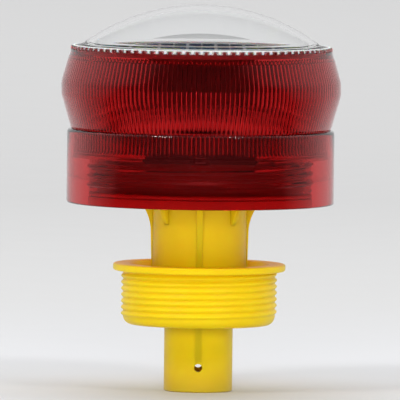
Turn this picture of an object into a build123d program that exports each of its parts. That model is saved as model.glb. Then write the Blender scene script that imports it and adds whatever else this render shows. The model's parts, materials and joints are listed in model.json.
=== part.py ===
from build123d import *
import math
import os

# Barricade warning light: a red lens head with a solar panel under a clear dome, screwed onto
# a yellow stem that carries a swivelling threaded collar.
# Units are mm.  +Z is up, the stem's foot is centred on the origin, and the cross hole runs along Y.

os.makedirs("parts", exist_ok=True)

# ---- clearances ----
RUNNING = 0.06            # radial gap of a turning fit
LOOSE = 0.3               # gap between bodies that move past each other
SEAT = 0.05               # gap between faces that rest on each other across a joint

# ---- stem ----
STEM_R = 13.25            # lower stem, outside
STEM_WALL = 2.6
FOOT_LENGTH = 25.7        # foot to the collar's underside
PIN_HOLE_R = 1.55
PIN_HOLE_Z = 9.6
WITNESS_W = 2.3           # shallow strips down the front and back of the lower stem
WITNESS_PROUD = 0.12
UPPER_R = 18.2            # upper stem, outside
UPPER_WALL = 2.8
NECK_LENGTH = 23.3        # collar's top to the head's bottom edge
STEM_FLANGE_R = 23.5
STEM_FLANGE_T = 2.0
GUSSET_W = 2.5
GUSSET_LONG = 25.0        # how far the long ribs run down from the stem's flange
GUSSET_SHORT = 8.4
GUSSET_FLARE_R = 22.6     # outer radius of a rib just under the flange
GUSSET_FOOT_R = 18.85     # outer radius where a long rib starts to follow the stem
GUSSET_TAIL_R = 18.55     # outer radius of a long rib at its foot
GUSSET_FLARE_H = 8.0

# ---- threaded collar ----
COLLAR_H = 23.6
COLLAR_THREAD_R = 30.15
COLLAR_THREAD_DEPTH = 0.85
COLLAR_PITCH = 2.44
COLLAR_WALL = 2.4         # under the thread's root
COLLAR_FLOOR = 3.0
COLLAR_EDGE_R = 3.2
COLLAR_FLANGE_OUT = 3.2   # how far the flange stands out past the thread
COLLAR_FLANGE_T = 2.7
COLLAR_BAND_H = 2.1       # plain band where the thread runs out under the flange
CLIP_T = 1.0              # retaining ring under the collar's floor
CLIP_BITE = 0.8           # how deep the ring sits in the stem's groove
CLIP_OUT = 2.35           # how far the ring stands out past the stem

# ---- red lower ring ----
RING_R = 51.7
RING_WALL = 2.0
RING_H = 28.6
RING_EDGE_R = 1.2
RING_FOOT_EDGE_R = 0.8
DRUM_GAP = 6.3            # ring's inner wall to the threaded drum
DRUM_WALL = 2.3
WEB_Z = 17.9              # underside of the web above the ring's bottom edge
WEB_T = 1.2
HEAD_PITCH = 3.27
HEAD_THREAD_DEPTH = 0.9
HEAD_THREAD_PLAY = 0.4    # crest to root

# ---- red fluted lens ----
LENS_WAIST_DR = -1.35     # radii as steps from the ring's outside radius
LENS_BULGE_DR = 2.4
LENS_RIM_DR = -1.1
LENS_BULGE_H = 16.2       # heights above the ring's top edge
LENS_BAND_DOWN = 2.6      # upright band round the bulge, below and above its middle
LENS_BAND_UP = 1.9
LENS_H = 31.8
LENS_WALL = 2.0
LENS_LEDGE_W = 1.0        # ledge that carries the panel's bezel
LENS_LEDGE_DEPTH = 3.1    # below the rim
SKIRT_DEPTH = 8.9

# ---- clear dome ----
DOME_R = 45.0
DOME_SPHERE_R = 76.5
DOME_WALL = 2.0
DOME_FOOT = 0.56
DOME_FLANGE_R = 49.9
DOME_FLANGE_T = 1.2

# ---- solar panel ----
GASKET_T = 0.4
BEZEL_LIP_T = 1.1
BEZEL_LIP_W = 1.5
BEZEL_RIM_W = 3.8
PANEL_GAP = 0.15          # panel's edge to the bezel
SUBSTRATE_T = 1.6
CELL_T = 0.25
CELL_STRIPS = 8
CELL_GAP = 0.6
CELL_MARGIN = 0.9
BUSBAR_W = 1.2
BUSBAR_T = 0.05

# ---- driver box and lights ----
BOX_W = 42.0
BOX_L = 50.0
BOX_H = 17.0
BOX_WALL = 1.6
BOX_LID_T = 1.2
PAD_T = 0.8               # foam pad between the lid and the panel
BOARD_T = 1.6
BOARD_MARGIN = 1.0
BOARD_RAISE = 4.4
POST_R = 2.4              # screw posts in the driver box
BOARD_SCREW_BITE = 3.4
BOARD_SCREW_DX = 14.4
BOARD_SCREW_DY = 19.0
LID_SCREW_DX = 18.0
LID_SCREW_DY = 22.0
LID_SCREW_LENGTH = 6.8
SCREW_R = 1.1
SCREW_HEAD_R = 1.9
SCREW_HEAD_T = 1.4
SLOT_W = 0.6
SLOT_L = 2.6
LED_BOARD_R = 18.8
LED_BOARD_T = 1.6
LED_GAP = 0.2             # between the box's floor and the LED board
LED_COUNT = 8
LED_R = 2.5
LED_LENGTH = 8.6
LED_LEAD_R = 0.3
LED_LEAD_PITCH = 2.54
LED_BEND_R = 0.7
SENSOR_R = 2.5
SENSOR_H = 2.0
SENSOR_Y = -14.0

# ---- base plug, battery and switch ----
PLUG_RIM_T = 2.9
PLUG_FLOOR_T = 4.0
PLUG_NECK_H = 11.0        # above the floor
PLUG_NECK_WALL = 2.4
BOSS_R = 21.0
BOSS_WALL = 2.0
SEAL_R = 0.9              # half the thickness of the base seal
CELL_R = 5.25
CELL_L = 44.5
CELL_PITCH = 13.0
CELL_COUNT = 3
HOLDER_WALL = 1.5
HOLDER_FLOOR = 1.0
BAY_RIB = 1.0             # rib between two battery bays
HOLDER_LIFT = 11.8        # holder's underside above the plug's floor
CONTACT_ROOM = 3.0
COVER_T = 1.1
EAR_R = 3.6
EAR_T = 2.0
SPRING_R = 2.4
SPRING_WIRE_R = 0.3
SPRING_OFFSET = 9.0
SPRING_TURNS = 4
BUTTON_X = 32.0
BUTTON_R = 3.9
BUTTON_FLANGE_R = 5.2
BUTTON_FLANGE_T = 1.0
BUTTON_PROUD = 1.0
BUTTON_TRAVEL = 1.2
SWITCH_L = 11.0
SWITCH_W = 9.0
SWITCH_H = 6.0
PLUNGER_R = 1.4
WIRE_R = 0.6

# ---- heights worked out from the sizes above ----
COLLAR_TOP = FOOT_LENGTH + COLLAR_H
CLIP_R = STEM_R + CLIP_OUT
RING_Z = COLLAR_TOP + NECK_LENGTH
RING_TOP = RING_Z + RING_H
RIM_Z = RING_TOP + LENS_H
LEDGE_Z = RIM_Z - LENS_LEDGE_DEPTH
SUBSTRATE_Z = LEDGE_Z + BEZEL_LIP_T
CELLS_Z = SUBSTRATE_Z + SUBSTRATE_T
BEZEL_TOP = RIM_Z - GASKET_T
PAD_Z = SUBSTRATE_Z - PAD_T
LID_Z = PAD_Z - BOX_LID_T
BOX_Z = LID_Z - BOX_H
LED_BOARD_Z = BOX_Z - LED_GAP - LED_BOARD_T
PLUG_Z = RING_Z + 0.4
PLUG_FLOOR_Z = PLUG_Z + PLUG_FLOOR_T
PLUG_TOP = PLUG_FLOOR_Z + PLUG_NECK_H
HOLDER_Z = PLUG_FLOOR_Z + HOLDER_LIFT
HOLDER_H = HOLDER_FLOOR + 2 * CELL_R + 0.2
COVER_Z = HOLDER_Z + HOLDER_H
COVER_TOP = COVER_Z + COVER_T
DRUM_Z = PLUG_Z + PLUG_RIM_T + 2 * SEAL_R + 4 * SEAT

# ---- radii worked out from the sizes above ----
RING_IN = RING_R - RING_WALL
DRUM_R = RING_IN - DRUM_GAP
DRUM_BORE = DRUM_R - DRUM_WALL
PLUG_THREAD_R = DRUM_BORE - HEAD_THREAD_PLAY
PLUG_NECK_R = PLUG_THREAD_R - HEAD_THREAD_DEPTH
LENS_RIM_R = RING_R + LENS_RIM_DR
LENS_RIM_IN = LENS_RIM_R - LENS_WALL
BEZEL_R = LENS_RIM_IN - 0.2
SUBSTRATE_R = BEZEL_R - BEZEL_RIM_W
STEM_BORE = STEM_R - STEM_WALL
UPPER_BORE = UPPER_R - UPPER_WALL
COLLAR_ROOT_R = COLLAR_THREAD_R - COLLAR_THREAD_DEPTH
COLLAR_BORE = COLLAR_ROOT_R - COLLAR_WALL
COLLAR_FLANGE_R = COLLAR_THREAD_R + COLLAR_FLANGE_OUT
HOLDER_W = CELL_COUNT * CELL_PITCH + 2 * HOLDER_WALL
HOLDER_L = CELL_L + 2 * CONTACT_ROOM + 2 * HOLDER_WALL
EAR_Y = HOLDER_L / 2 + EAR_R

nodes = {}


def tube(r_out, r_in, z0, z1):
    """A plain ring between two heights."""
    outer = Cylinder(r_out, z1 - z0, align=(Align.CENTER, Align.CENTER, Align.MIN))
    inner = Cylinder(r_in, z1 - z0, align=(Align.CENTER, Align.CENTER, Align.MIN))
    return Pos(0, 0, z0) * (outer - inner)


def disc(r, z0, z1, x=0.0, y=0.0):
    """An upright solid cylinder between two heights."""
    return Pos(x, y, z0) * Cylinder(r, z1 - z0, align=(Align.CENTER, Align.CENTER, Align.MIN))


def block(width, length, z0, z1, x=0.0, y=0.0):
    """A box between two heights, centred on x and y."""
    return Pos(x, y, z0) * Box(width, length, z1 - z0, align=(Align.CENTER, Align.CENTER, Align.MIN))


def turned(points):
    """Revolve an outline of (radius, height) points about Z."""
    outline = Polyline(*points, close=True)
    face = Plane.XZ * make_face(outline)
    return revolve(face, Axis.Z, 360)


def helical_ridge(radius, depth, pitch, turns, z0, base_w, crest_w):
    """A right-hand ridge that grows by depth (inward when negative) from a wall at radius."""
    root = radius - math.copysign(0.4, depth)
    helix = Helix(pitch=pitch, height=pitch * turns, radius=radius, center=(0, 0, z0))
    section = Polyline(
        (root - radius, -base_w / 2),
        (depth, -crest_w / 2),
        (depth, crest_w / 2),
        (root - radius, base_w / 2),
        close=True,
    )
    start = Plane(origin=helix @ 0, x_dir=(1, 0, 0), z_dir=(0, -1, 0))
    return sweep(start * make_face(section), path=helix, is_frenet=True)


def screw(x, y, z_seat, length, head_t=SCREW_HEAD_T):
    """A cross-slotted screw whose head stands on z_seat, with its shank below."""
    head = disc(SCREW_HEAD_R, z_seat, z_seat + head_t, x, y)
    shank = disc(SCREW_R, z_seat - length, z_seat, x, y)
    slot = block(SLOT_W, SLOT_L, z_seat + head_t / 2, z_seat + head_t + 1, x, y)
    return head + shank - slot - slot.rotate(Axis((x, y, 0), (0, 0, 1)), 90)


def around(count, radius, start_deg=0.0):
    """Evenly spaced (x, y) places on a circle."""
    step = 360 / count
    angles = [math.radians(start_deg + step * i) for i in range(count)]
    return [(radius * math.cos(a), radius * math.sin(a)) for a in angles]


STEM_SCREWS = around(4, UPPER_R - UPPER_WALL / 2, 22.5)
BOARD_SCREWS = [(sx * BOARD_SCREW_DX, sy * BOARD_SCREW_DY) for sx in (-1, 1) for sy in (-1, 1)]
LID_SCREWS = [(sx * LID_SCREW_DX, sy * LID_SCREW_DY) for sx in (-1, 1) for sy in (-1, 1)]


# ---- yellow stem and what holds it ----
SHOULDER_Z = FOOT_LENGTH + COLLAR_FLOOR + SEAT
STEM_FLANGE_TOP = PLUG_Z + STEM_FLANGE_T
GROOVE_Z = FOOT_LENGTH + 0.4
STEM_SCREW_LENGTH = 9.0


def gusset(length, foot_r, angle):
    """A curved rib that carries the stem's flange and follows the stem down to foot_r."""
    top = PLUG_Z
    knee = top - min(GUSSET_FLARE_H, length)
    foot = top - length
    start_r = UPPER_R - 1.0
    flare = ThreePointArc(
        (GUSSET_FLARE_R, top),
        (GUSSET_FOOT_R + 0.28 * (GUSSET_FLARE_R - GUSSET_FOOT_R), top - 0.45 * (top - knee)),
        (GUSSET_FOOT_R, knee),
    )
    rest = Polyline(
        (GUSSET_FOOT_R, knee), (foot_r, foot), (start_r, foot), (start_r, top), (GUSSET_FLARE_R, top)
    )
    face = Plane.XZ * make_face(Curve() + [flare, rest])
    rib = extrude(face, GUSSET_W / 2, both=True)
    return rib.rotate(Axis.Z, angle)


def make_stem():
    upper = turned([
        (STEM_BORE, 0), (STEM_R, 0), (STEM_R, SHOULDER_Z), (UPPER_R, SHOULDER_Z),
        (UPPER_R, PLUG_Z), (STEM_FLANGE_R, PLUG_Z), (STEM_FLANGE_R, STEM_FLANGE_TOP),
        (UPPER_BORE, STEM_FLANGE_TOP), (UPPER_BORE, SHOULDER_Z + STEM_WALL),
        (STEM_BORE, SHOULDER_Z + STEM_WALL),
    ])
    for i in range(4):
        upper += gusset(GUSSET_LONG, GUSSET_TAIL_R, 90 * i)
        upper += gusset(GUSSET_SHORT, UPPER_R - 0.2, 90 * i + 45)
    strip_len = FOOT_LENGTH - 1.0
    for side in (-1, 1):
        upper += block(WITNESS_W, 2 * WITNESS_PROUD + 0.4, 0, strip_len, 0, side * (STEM_R - 0.2))
    groove = tube(STEM_R + 1, STEM_R - CLIP_BITE, GROOVE_Z, GROOVE_Z + CLIP_T + 2 * SEAT)
    pin_hole = Pos(0, 0, PIN_HOLE_Z) * Rot(90, 0, 0) * Cylinder(PIN_HOLE_R, 3 * STEM_R)
    stem = upper - groove - pin_hole
    for x, y in STEM_SCREWS:
        stem -= disc(SCREW_R, STEM_FLANGE_TOP - STEM_SCREW_LENGTH, STEM_FLANGE_TOP, x, y)
    return stem


def make_retaining_ring():
    ring = tube(CLIP_R, STEM_R - CLIP_BITE + SEAT, GROOVE_Z + SEAT, GROOVE_Z + SEAT + CLIP_T)
    return ring - block(5.0, 2 * CLIP_R, 0, 2 * GROOVE_Z, 0, CLIP_R)


def circles(shape, radius, height):
    """The circular edges of one radius at one height."""
    edges = shape.edges().filter_by(GeomType.CIRCLE)
    return [e for e in edges if abs(e.radius - radius) < 0.01 and abs(e.center().Z - height) < 0.01]


def make_collar():
    root = COLLAR_ROOT_R
    hole = STEM_R + RUNNING
    floor_z = FOOT_LENGTH + COLLAR_FLOOR
    flange_z = COLLAR_TOP - COLLAR_FLANGE_T
    band_z = flange_z - COLLAR_BAND_H
    band_r = COLLAR_THREAD_R + SEAT
    cup = turned([
        (hole, FOOT_LENGTH), (root, FOOT_LENGTH), (root, band_z), (band_r, band_z), (band_r, flange_z),
        (COLLAR_FLANGE_R, flange_z), (COLLAR_FLANGE_R, COLLAR_TOP), (COLLAR_BORE, COLLAR_TOP),
        (COLLAR_BORE, floor_z), (hole, floor_z),
    ])
    cup = fillet(circles(cup, root, FOOT_LENGTH), COLLAR_EDGE_R)
    rim = circles(cup, COLLAR_FLANGE_R, flange_z) + circles(cup, COLLAR_FLANGE_R, COLLAR_TOP)
    cup = fillet(rim, COLLAR_FLANGE_T * 0.42)
    first = FOOT_LENGTH + COLLAR_EDGE_R + COLLAR_PITCH / 2
    turns = (flange_z - COLLAR_BAND_H / 2 - first) / COLLAR_PITCH
    base_w, crest_w = COLLAR_PITCH * 0.86, COLLAR_PITCH * 0.36
    cup += helical_ridge(root, COLLAR_THREAD_DEPTH, COLLAR_PITCH, turns, first, base_w, crest_w)
    pocket = disc(CLIP_R + LOOSE, FOOT_LENGTH - 1, GROOVE_Z + CLIP_T + 3 * SEAT)
    return cup - pocket


# ---- base plug, battery and switch ----
EAR_PLACES = [(0, -EAR_Y), (0, EAR_Y)]
EAR_SCREW_LENGTH = 7.0
HEAD_THREAD_Z = PLUG_FLOOR_Z + 2.4
HEAD_RIDGE_BASE = HEAD_PITCH * 0.46
HEAD_RIDGE_CREST = HEAD_PITCH * 0.24


def make_base_plug():
    rim_r = DRUM_R - 0.2
    plug = turned([
        (0, PLUG_Z), (rim_r, PLUG_Z), (rim_r, PLUG_Z + PLUG_RIM_T), (PLUG_NECK_R, PLUG_Z + PLUG_RIM_T),
        (PLUG_NECK_R, PLUG_TOP), (PLUG_NECK_R - PLUG_NECK_WALL, PLUG_TOP),
        (PLUG_NECK_R - PLUG_NECK_WALL, PLUG_FLOOR_Z), (0, PLUG_FLOOR_Z),
    ])
    plug += tube(BOSS_R, BOSS_R - BOSS_WALL, PLUG_FLOOR_Z, HOLDER_Z)
    for x, y in EAR_PLACES:
        plug += disc(EAR_R, PLUG_FLOOR_Z, HOLDER_Z, x, y)
    turns = (PLUG_TOP - HEAD_THREAD_Z - HEAD_RIDGE_BASE) / HEAD_PITCH
    plug += helical_ridge(
        PLUG_NECK_R, HEAD_THREAD_DEPTH, HEAD_PITCH, turns, HEAD_THREAD_Z, HEAD_RIDGE_BASE, HEAD_RIDGE_CREST
    )
    plug -= disc(STEM_FLANGE_R + 0.2, PLUG_Z - 1, STEM_FLANGE_TOP)
    plug -= disc(BUTTON_R + LOOSE, PLUG_Z - 1, PLUG_FLOOR_Z + 1, BUTTON_X, 0)
    for x, y in STEM_SCREWS:
        plug -= disc(SCREW_R, PLUG_Z, PLUG_FLOOR_Z + 1, x, y)
    for x, y in EAR_PLACES:
        plug -= disc(SCREW_R, HOLDER_Z - EAR_SCREW_LENGTH, HOLDER_Z + 1, x, y)
    return plug


def make_stem_screws():
    length = PLUG_FLOOR_Z - STEM_FLANGE_TOP + STEM_SCREW_LENGTH
    return [screw(x, y, PLUG_FLOOR_Z, length) for x, y in STEM_SCREWS]


def make_base_seal():
    z = PLUG_Z + PLUG_RIM_T + 2 * SEAT + SEAL_R
    r = (PLUG_THREAD_R + DRUM_R) / 2 + 0.1
    return Pos(0, 0, z) * Torus(r, SEAL_R)


def make_battery_holder():
    holder = block(HOLDER_W, HOLDER_L, HOLDER_Z, COVER_Z)
    for x, y in EAR_PLACES:
        ear = disc(EAR_R, HOLDER_Z, HOLDER_Z + EAR_T, x, y)
        root_y = y - math.copysign(EAR_R / 2, y)
        holder += ear + block(2 * EAR_R, EAR_R, HOLDER_Z, HOLDER_Z + EAR_T, x, root_y)
    bay_w = CELL_PITCH - BAY_RIB
    bay_l = HOLDER_L - 2 * HOLDER_WALL
    for x in cell_places():
        holder -= block(bay_w, bay_l, HOLDER_Z + HOLDER_FLOOR, COVER_Z + 1, x, 0)
    for x, y in EAR_PLACES:
        holder -= disc(SCREW_R, HOLDER_Z - 1, HOLDER_Z + EAR_T + 1, x, y)
    return holder


def cell_places():
    half = (CELL_COUNT - 1) / 2
    return [(i - half) * CELL_PITCH for i in range(CELL_COUNT)]


def make_battery_cells():
    z = HOLDER_Z + HOLDER_FLOOR + CELL_R + 0.05
    cells = []
    for i, x in enumerate(cell_places()):
        turn = 90 if i % 2 == 0 else -90
        can = Cylinder(CELL_R, CELL_L - 1.2, align=(Align.CENTER, Align.CENTER, Align.MIN))
        nub = Pos(0, 0, CELL_L - 1.2) * Cylinder(1.9, 1.2, align=(Align.CENTER, Align.CENTER, Align.MIN))
        cell = Pos(0, 0, -CELL_L / 2) * (can + nub)
        cells.append(Pos(x, 0, z) * Rot(turn, 0, 0) * cell)
    return cells


def make_battery_contacts():
    """Sprung end plates inside the holder, one at each end of each cell."""
    plates = []
    z = HOLDER_Z + HOLDER_FLOOR
    for x in cell_places():
        for side in (-1, 1):
            wall_y = side * (HOLDER_L / 2 - HOLDER_WALL)
            plate = block(8.0, 0.4, z, z + 9.0, x, wall_y - side * 0.2)
            reach = CONTACT_ROOM - 0.45
            leaf = block(3.0, reach, z + CELL_R - 0.3, z + CELL_R + 0.3, x, wall_y - side * (0.4 + reach / 2))
            plates.append(plate + leaf)
    return plates


def make_battery_cover():
    cover = block(HOLDER_W, HOLDER_L, COVER_Z, COVER_TOP)
    rim = block(HOLDER_W - 8, HOLDER_L - 8, COVER_TOP - 0.4, COVER_TOP + 1)
    return cover - rim


def make_holder_screws():
    return [screw(x, y, HOLDER_Z + EAR_T, EAR_SCREW_LENGTH + EAR_T) for x, y in EAR_PLACES]


def make_contact_springs():
    """Two springs that stand on the battery cover and meet the pads under the LED board."""
    foot = COVER_TOP - 0.4
    top = LED_BOARD_Z - PAD_FOIL_T - SEAT
    height = top - foot - 2 * SPRING_WIRE_R
    springs = []
    for x in (0, SPRING_OFFSET):
        helix = Helix(pitch=height / SPRING_TURNS, height=height, radius=SPRING_R, center=(0, 0, 0))
        section = Plane(origin=helix @ 0, z_dir=helix % 0) * Circle(SPRING_WIRE_R)
        springs.append(Pos(x, 0, foot + SPRING_WIRE_R) * sweep(section, path=helix, is_frenet=True))
    return springs


def make_mode_button():
    flange_z = PLUG_FLOOR_Z + SEAT
    cap = disc(BUTTON_R, PLUG_Z - BUTTON_PROUD, flange_z, BUTTON_X, 0)
    edge = cap.edges().filter_by(GeomType.CIRCLE).sort_by(Axis.Z)[0]
    cap = fillet(edge, 0.8)
    return cap + disc(BUTTON_FLANGE_R, flange_z, flange_z + BUTTON_FLANGE_T, BUTTON_X, 0)


PLUNGER_Z = PLUG_FLOOR_Z + SEAT + BUTTON_FLANGE_T
SWITCH_Z = PLUNGER_Z + BUTTON_TRAVEL + LOOSE


def make_switch_plunger():
    return disc(PLUNGER_R, PLUNGER_Z, SWITCH_Z + 1.5, BUTTON_X, 0)


def make_switch_body():
    body = block(SWITCH_L, SWITCH_W, SWITCH_Z, SWITCH_Z + SWITCH_H, BUTTON_X - 0.5, 0)
    leg_in = BUTTON_FLANGE_R + LOOSE
    for side in (-1, 1):
        body += block(3.0, 2.0, PLUG_FLOOR_Z, SWITCH_Z + 2.0, BUTTON_X - 2.0, side * (leg_in + 1.0))
        body += block(3.0, leg_in, SWITCH_Z, SWITCH_Z + 2.0, BUTTON_X - 2.0, side * leg_in / 2)
    well = PLUNGER_R + LOOSE
    return body - disc(well, SWITCH_Z - 1, SWITCH_Z + 1.5 + BUTTON_TRAVEL + LOOSE, BUTTON_X, 0)


def make_switch_wires():
    """Two leads from the top of the switch into the side of the battery holder."""
    wires = []
    start_x = HOLDER_W / 2 + 7.5
    rise_z = HOLDER_Z + 5.0
    for y in (-2.4, 2.4):
        path = FilletPolyline(
            (start_x, y, SWITCH_Z + SWITCH_H), (start_x, y, rise_z), (HOLDER_W / 2, y, rise_z), radius=3.3
        )
        section = Plane(origin=path @ 0, z_dir=path % 0) * Circle(WIRE_R)
        wires.append(sweep(section, path=path))
    return wires


# ---- red head shell ----
def make_lower_ring():
    web_z = RING_Z + WEB_Z
    ring = turned([
        (RING_IN, RING_Z), (RING_R, RING_Z), (RING_R, RING_TOP), (RING_IN, RING_TOP),
        (RING_IN, web_z + WEB_T), (DRUM_BORE, web_z + WEB_T), (DRUM_BORE, DRUM_Z),
        (DRUM_R, DRUM_Z), (DRUM_R, web_z), (RING_IN, web_z),
    ])
    ring = fillet(circles(ring, RING_R, RING_TOP), RING_EDGE_R)
    ring = fillet(circles(ring, RING_R, RING_Z), RING_FOOT_EDGE_R)
    first = HEAD_THREAD_Z + HEAD_PITCH / 2
    turns = (web_z - first - HEAD_RIDGE_BASE / 2) / HEAD_PITCH
    ring += helical_ridge(
        DRUM_BORE, -HEAD_THREAD_DEPTH, HEAD_PITCH, turns, first, HEAD_RIDGE_BASE, HEAD_RIDGE_CREST
    )
    return ring


def make_upper_lens():
    waist = RING_R + LENS_WAIST_DR
    bulge = RING_R + LENS_BULGE_DR
    bulge_z = RING_TOP + LENS_BULGE_H
    skirt_r = RING_IN - LOOSE
    thick = LENS_WALL + LENS_LEDGE_W
    seat_z = RING_TOP + SEAT
    return turned([
        (skirt_r, RING_TOP - SKIRT_DEPTH), (skirt_r, seat_z), (waist, seat_z),
        (bulge, bulge_z - LENS_BAND_DOWN), (bulge, bulge_z + LENS_BAND_UP), (LENS_RIM_R, RIM_Z), (LENS_RIM_IN, RIM_Z), (LENS_RIM_IN, LEDGE_Z),
        (LENS_RIM_IN - LENS_LEDGE_W, LEDGE_Z), (bulge - thick, bulge_z), (waist - thick, seat_z + 1.0),
        (skirt_r - LENS_WALL, RING_TOP - SKIRT_DEPTH),
    ])


def make_clear_dome():
    top = RIM_Z + DOME_FLANGE_T
    foot_z = top + DOME_FOOT
    centre_z = foot_z - math.sqrt(DOME_SPHERE_R ** 2 - DOME_R ** 2)
    inner_r = DOME_SPHERE_R - DOME_WALL
    inner_foot = DOME_R - DOME_WALL
    inner_z = centre_z + math.sqrt(inner_r ** 2 - inner_foot ** 2)

    def on_sphere(radius, r):
        return (r, centre_z + math.sqrt(radius ** 2 - r ** 2))

    outer = ThreePointArc((DOME_R, foot_z), on_sphere(DOME_SPHERE_R, DOME_R / 2), on_sphere(DOME_SPHERE_R, 0))
    inner = ThreePointArc(on_sphere(inner_r, 0), on_sphere(inner_r, inner_foot / 2), (inner_foot, inner_z))
    axis_line = Line(on_sphere(DOME_SPHERE_R, 0), on_sphere(inner_r, 0))
    foot = Polyline(
        (inner_foot, inner_z), (inner_foot, RIM_Z), (DOME_FLANGE_R, RIM_Z), (DOME_FLANGE_R, top),
        (DOME_R, top), (DOME_R, foot_z),
    )
    face = Plane.XZ * make_face(Curve() + [outer, axis_line, inner, foot])
    return revolve(face, Axis.Z, 360)


def make_dome_gasket():
    return tube(BEZEL_R, SUBSTRATE_R + 1.6, BEZEL_TOP, RIM_Z)


# ---- solar panel ----
def make_panel_bezel():
    return turned([
        (SUBSTRATE_R - BEZEL_LIP_W, LEDGE_Z), (BEZEL_R, LEDGE_Z), (BEZEL_R, BEZEL_TOP),
        (SUBSTRATE_R + PANEL_GAP, BEZEL_TOP), (SUBSTRATE_R + PANEL_GAP, SUBSTRATE_Z),
        (SUBSTRATE_R - BEZEL_LIP_W, SUBSTRATE_Z),
    ])


def make_solar_substrate():
    return disc(SUBSTRATE_R, SUBSTRATE_Z, CELLS_Z)


def make_solar_cells():
    """The round panel's cells: side-by-side strips of silicon cut to the disc."""
    radius = SUBSTRATE_R - CELL_MARGIN
    pitch = 2 * radius / CELL_STRIPS
    cells = []
    for i in range(CELL_STRIPS):
        x = (i + 0.5) * pitch - radius
        strip = block(pitch - CELL_GAP, 2 * radius, CELLS_Z, CELLS_Z + CELL_T, x, 0)
        cells.append(strip & disc(radius, CELLS_Z, CELLS_Z + CELL_T))
    return cells


def make_cell_busbars():
    """One silver conductor along the middle of every cell."""
    radius = SUBSTRATE_R - CELL_MARGIN
    pitch = 2 * radius / CELL_STRIPS
    z = CELLS_Z + CELL_T
    bars = []
    for i in range(CELL_STRIPS):
        x = (i + 0.5) * pitch - radius
        half = math.sqrt(radius ** 2 - (abs(x) + BUSBAR_W / 2) ** 2) - 0.5
        bars.append(block(BUSBAR_W, 2 * half, z, z + BUSBAR_T, x, 0))
    return bars


# ---- driver box ----
def make_foam_pad():
    return block(2 * (PANEL_WIRE_X - WIRE_R - LOOSE), BOX_L - 12, PAD_Z, SUBSTRATE_Z)


def make_driver_box():
    box = block(BOX_W, BOX_L, BOX_Z, LID_Z)
    box -= block(BOX_W - 2 * BOX_WALL, BOX_L - 2 * BOX_WALL, BOX_Z + BOX_WALL, LID_Z + 1)
    for x, y in LID_SCREWS:
        box += disc(POST_R, BOX_Z + BOX_WALL, LID_Z, x, y)
        box -= disc(SCREW_R, PAD_Z - LID_SCREW_LENGTH, LID_Z + 1, x, y)
    for x, y in BOARD_SCREWS:
        box += disc(POST_R - 0.2, BOX_Z + BOX_WALL, BOARD_Z, x, y)
        box -= disc(SCREW_R, BOARD_Z - BOARD_SCREW_BITE, BOARD_Z + 1, x, y)
    return box


def make_box_lid():
    lid = block(BOX_W, BOX_L, LID_Z, PAD_Z)
    for x, y in LID_SCREWS:
        lid -= disc(SCREW_R, LID_Z - 1, PAD_Z + 1, x, y)
    for y in PANEL_WIRE_YS:
        lid -= disc(WIRE_R + 0.2, LID_Z - 1, PAD_Z + 1, PANEL_WIRE_X, y)
    return lid


PANEL_WIRE_X = BOX_W / 2 - BOX_WALL - 1.6
PANEL_WIRE_YS = (-3.0, 3.0)
BOARD_Z = BOX_Z + BOX_WALL + BOARD_RAISE
BOARD_TOP = BOARD_Z + BOARD_T


def make_lid_screws():
    return [screw(x, y, PAD_Z, LID_SCREW_LENGTH, PAD_T - 2 * SEAT) for x, y in LID_SCREWS]


def make_circuit_board():
    width = BOX_W - 2 * BOX_WALL - 2 * BOARD_MARGIN
    length = BOX_L - 2 * BOX_WALL - 2 * BOARD_MARGIN
    board = block(width, length, BOARD_Z, BOARD_TOP)
    for x, y in LID_SCREWS:
        board -= block(2 * POST_R + 1.6, 2 * POST_R + 1.6, BOARD_Z - 1, BOARD_TOP + 1, x, y)
    for x, y in BOARD_SCREWS:
        board -= disc(SCREW_R, BOARD_Z - 1, BOARD_TOP + 1, x, y)
    return board


def make_board_screws():
    return [screw(x, y, BOARD_TOP, BOARD_T + BOARD_SCREW_BITE) for x, y in BOARD_SCREWS]


def make_controller_chip():
    chip = block(7.5, 10.0, BOARD_TOP + 0.2, BOARD_TOP + 2.2, -6, 4)
    for side in (-1, 1):
        for i in range(8):
            y = 4 + (i - 3.5) * 1.2
            chip += block(1.5, 0.45, BOARD_TOP, BOARD_TOP + 0.9, -6 + side * 4.2, y)
    return chip


def make_capacitors():
    return [disc(2.5, BOARD_TOP, BOARD_TOP + 7.0, 5.5, -10), disc(2.5, BOARD_TOP, BOARD_TOP + 7.0, 5.5, -4)]


def make_inductor():
    base = block(8, 8, BOARD_TOP, BOARD_TOP + 1.0, 7, 7)
    coil = tube(3.4, 1.2, BOARD_TOP + 1.0, BOARD_TOP + 4.6)
    return base + Pos(7, 7, 0) * coil + disc(1.3, BOARD_TOP + 1.0, BOARD_TOP + 5.0, 7, 7)


def make_panel_wire(y):
    """A lead from the underside of the panel down to the circuit board."""
    return disc(WIRE_R, BOARD_TOP, SUBSTRATE_Z, PANEL_WIRE_X, y)


# ---- lights ----
PAD_FOIL_T = 0.1
LED_SEAT_R = LED_BOARD_R + 0.6
LED_Z = LED_BOARD_Z - 2.2


def make_led_board():
    posts = [disc(1.8, LED_BOARD_Z + LED_BOARD_T, BOX_Z, x, y) for x, y in around(4, 14.0, 45)]
    board = disc(LED_BOARD_R, LED_BOARD_Z, LED_BOARD_Z + LED_BOARD_T)
    for post in posts:
        board += post
    return board


def make_led_bodies():
    """Clear dome-ended lights that lie flat and look outward all round."""
    bodies = []
    for i in range(LED_COUNT):
        can = Cylinder(LED_R, LED_LENGTH - LED_R, align=(Align.CENTER, Align.CENTER, Align.MIN))
        tip = Pos(0, 0, LED_LENGTH - LED_R) * Sphere(LED_R)
        collar = Cylinder(LED_R + 0.4, 1.0, align=(Align.CENTER, Align.CENTER, Align.MIN))
        led = Pos(LED_SEAT_R, 0, LED_Z) * Rot(0, 90, 0) * (can + tip + collar)
        bodies.append(led.rotate(Axis.Z, 360 / LED_COUNT * (i + 0.5)))
    return bodies


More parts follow.
